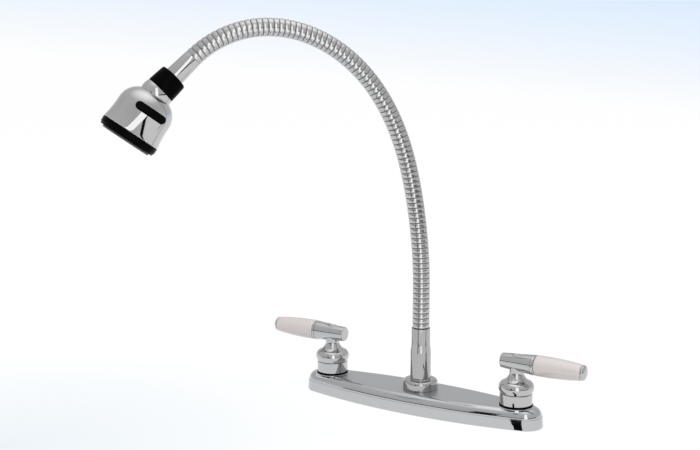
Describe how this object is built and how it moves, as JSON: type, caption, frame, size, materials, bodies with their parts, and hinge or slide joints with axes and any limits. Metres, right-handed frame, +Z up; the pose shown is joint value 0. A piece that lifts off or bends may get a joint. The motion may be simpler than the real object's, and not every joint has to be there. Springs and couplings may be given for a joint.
{
  "type": "kitchen sink mixer",
  "caption": "Deck-mounted two-handle kitchen mixer: oval deck plate, porcelain lever handles, a flexible ringed gooseneck spout and a round swivelling spray head with a black face.",
  "frame": {"origin": "middle of the gasket's underside, where the deck plate's gasket sits on the sink", "axes": "+Z up out of the sink, +X along the deck plate towards the cold handle, -Y towards the person at the sink"},
  "size_m": [0.3735, 0.2667, 0.4218],
  "materials": {
    "deck_chrome": "polished",
    "chrome": "polished",
    "brass": "machined",
    "copper": "drawn",
    "steel_rings": "satin",
    "steel": "plain",
    "rubber": "matte",
    "black_plastic": "semi-gloss",
    "grey_plastic": "matte",
    "white_plastic": "matte",
    "disc_ceramic": "lapped",
    "porcelain": "glazed"
  },
  "bodies": {
    "base": {"deck_plate": "deck_chrome", "deck_gasket": "rubber", "hot_valve_body": "brass", "cold_valve_body": "brass", "spout_body": "brass", "crossover_tubes": "copper", "shank_nuts": "brass", "seal_rings": "rubber", "valve_skirts": "chrome", "cartridges": "white_plastic", "cartridge_nuts": "brass", "fixed_discs": "disc_ceramic", "seat_seals": "rubber", "spout_hub": "chrome", "thrust_washer": "white_plastic", "spout_post": "brass", "spout_o_rings": "rubber"},
    "spout_base": {"spout_collar": "chrome", "spout_retaining_ring": "brass", "hose_link_0": "steel_rings", "inner_hose": "rubber"},
    "hose_1": {"hose_link_1": "steel_rings"},
    "hose_2": {"hose_link_2": "steel_rings"},
    "hose_3": {"hose_link_3": "steel_rings"},
    "hose_4": {"hose_link_4": "steel_rings"},
    "hose_5": {"hose_link_5": "steel_rings"},
    "hose_6": {"hose_link_6": "steel_rings"},
    "hose_7": {"hose_link_7": "steel_rings"},
    "hose_8": {"hose_link_8": "steel_rings"},
    "hose_9": {"hose_link_9": "steel_rings"},
    "hose_10": {"hose_link_10": "steel_rings", "end_ferrule": "chrome", "collar_nut": "black_plastic", "dome_cover": "chrome"},
    "head_ball": {"swivel_ball": "brass"},
    "spray_head": {"head_bell": "chrome", "socket_body": "white_plastic", "socket_nut": "white_plastic", "ball_seal": "rubber", "head_grips": "rubber", "flow_divider": "white_plastic"},
    "spray_face": {"face_ring": "black_plastic", "spray_plate": "grey_plastic", "aerator_screen": "steel"},
    "hot_handle": {"hot_moving_disc": "disc_ceramic", "hot_stem": "brass", "hot_handle_hub": "chrome", "hot_handle_screw": "steel", "hot_index_cap": "chrome", "hot_lever_rod": "steel", "hot_lever_grip": "porcelain", "hot_tip_cap": "chrome"},
    "cold_handle": {"cold_moving_disc": "disc_ceramic", "cold_stem": "brass", "cold_handle_hub": "chrome", "cold_handle_screw": "steel", "cold_index_cap": "chrome", "cold_lever_rod": "steel", "cold_lever_grip": "porcelain", "cold_tip_cap": "chrome"}
  },
  "joints": [
    {"name": "spout_swivel", "type": "hinge", "parent": "base", "child": "spout_base", "pos_m": [0, 0, 0.0793], "axis": [0, 0, 1], "continuous": true},
    {"name": "hose_bend_1", "type": "hinge", "parent": "spout_base", "child": "hose_1", "pos_m": [0, 0, 0.1189], "axis": [0.766, -0.6428, 0], "range_deg": [-14, 6], "deforming": ["inner_hose"]},
    {"name": "hose_bend_2", "type": "hinge", "parent": "hose_1", "child": "hose_2", "pos_m": [-0.00111, -0.00132, 0.15845], "axis": [0.766, -0.6428, 0], "range_deg": [-14, 6], "deforming": ["inner_hose"]},
    {"name": "hose_bend_3", "type": "hinge", "parent": "hose_2", "child": "hose_3", "pos_m": [-0.00421, -0.00502, 0.19775], "axis": [0.766, -0.6428, 0], "range_deg": [-14, 6], "deforming": ["inner_hose"]},
    {"name": "hose_bend_4", "type": "hinge", "parent": "hose_3", "child": "hose_4", "pos_m": [-0.00928, -0.01107, 0.23654], "axis": [0.766, -0.6428, 0], "range_deg": [-14, 6], "deforming": ["inner_hose"]},
    {"name": "hose_bend_5", "type": "hinge", "parent": "hose_4", "child": "hose_5", "pos_m": [-0.01735, -0.02068, 0.27405], "axis": [0.766, -0.6428, 0], "range_deg": [-14, 6], "deforming": ["inner_hose"]},
    {"name": "hose_bend_6", "type": "hinge", "parent": "hose_5", "child": "hose_6", "pos_m": [-0.02967, -0.03536, 0.30863], "axis": [0.766, -0.6428, 0], "range_deg": [-14, 6], "deforming": ["inner_hose"]},
    {"name": "hose_bend_7", "type": "hinge", "parent": "hose_6", "child": "hose_7", "pos_m": [-0.04682, -0.0558, 0.33774], "axis": [0.766, -0.6428, 0], "range_deg": [-14, 6], "deforming": ["inner_hose"]},
    {"name": "hose_bend_8", "type": "hinge", "parent": "hose_7", "child": "hose_8", "pos_m": [-0.06844, -0.08157, 0.35835], "axis": [0.766, -0.6428, 0], "range_deg": [-14, 6], "deforming": ["inner_hose"]},
    {"name": "hose_bend_9", "type": "hinge", "parent": "hose_8", "child": "hose_9", "pos_m": [-0.09312, -0.11098, 0.36722], "axis": [0.766, -0.6428, 0], "range_deg": [-14, 6], "deforming": ["inner_hose"]},
    {"name": "hose_bend_10", "type": "hinge", "parent": "hose_9", "child": "hose_10", "pos_m": [-0.11812, -0.14078, 0.3614], "axis": [0.766, -0.6428, 0], "range_deg": [-14, 6], "deforming": ["inner_hose"]},
    {"name": "head_turn", "type": "hinge", "parent": "hose_10", "child": "head_ball", "pos_m": [-0.16093, -0.19179, 0.31002], "axis": [-0.4701, -0.5602, -0.682], "continuous": true},
    {"name": "head_tilt", "type": "hinge", "parent": "head_ball", "child": "spray_head", "pos_m": [-0.16093, -0.19179, 0.31002], "axis": [0.766, -0.6428, 0], "range_deg": [-29.5, 6.5]},
    {"name": "spray_selector", "type": "hinge", "parent": "spray_head", "child": "spray_face", "pos_m": [-0.17847, -0.2127, 0.27176], "axis": [-0.3733, -0.4448, -0.8141], "range_deg": [0, 60]},
    {"name": "hot_turn", "type": "hinge", "parent": "base", "child": "hot_handle", "pos_m": [-0.1016, 0, 0.04], "axis": [0, 0, 1], "range_deg": [0, 90]},
    {"name": "cold_turn", "type": "hinge", "parent": "base", "child": "cold_handle", "pos_m": [0.1016, 0, 0.04], "axis": [0, 0, -1], "range_deg": [0, 90]}
  ]
}
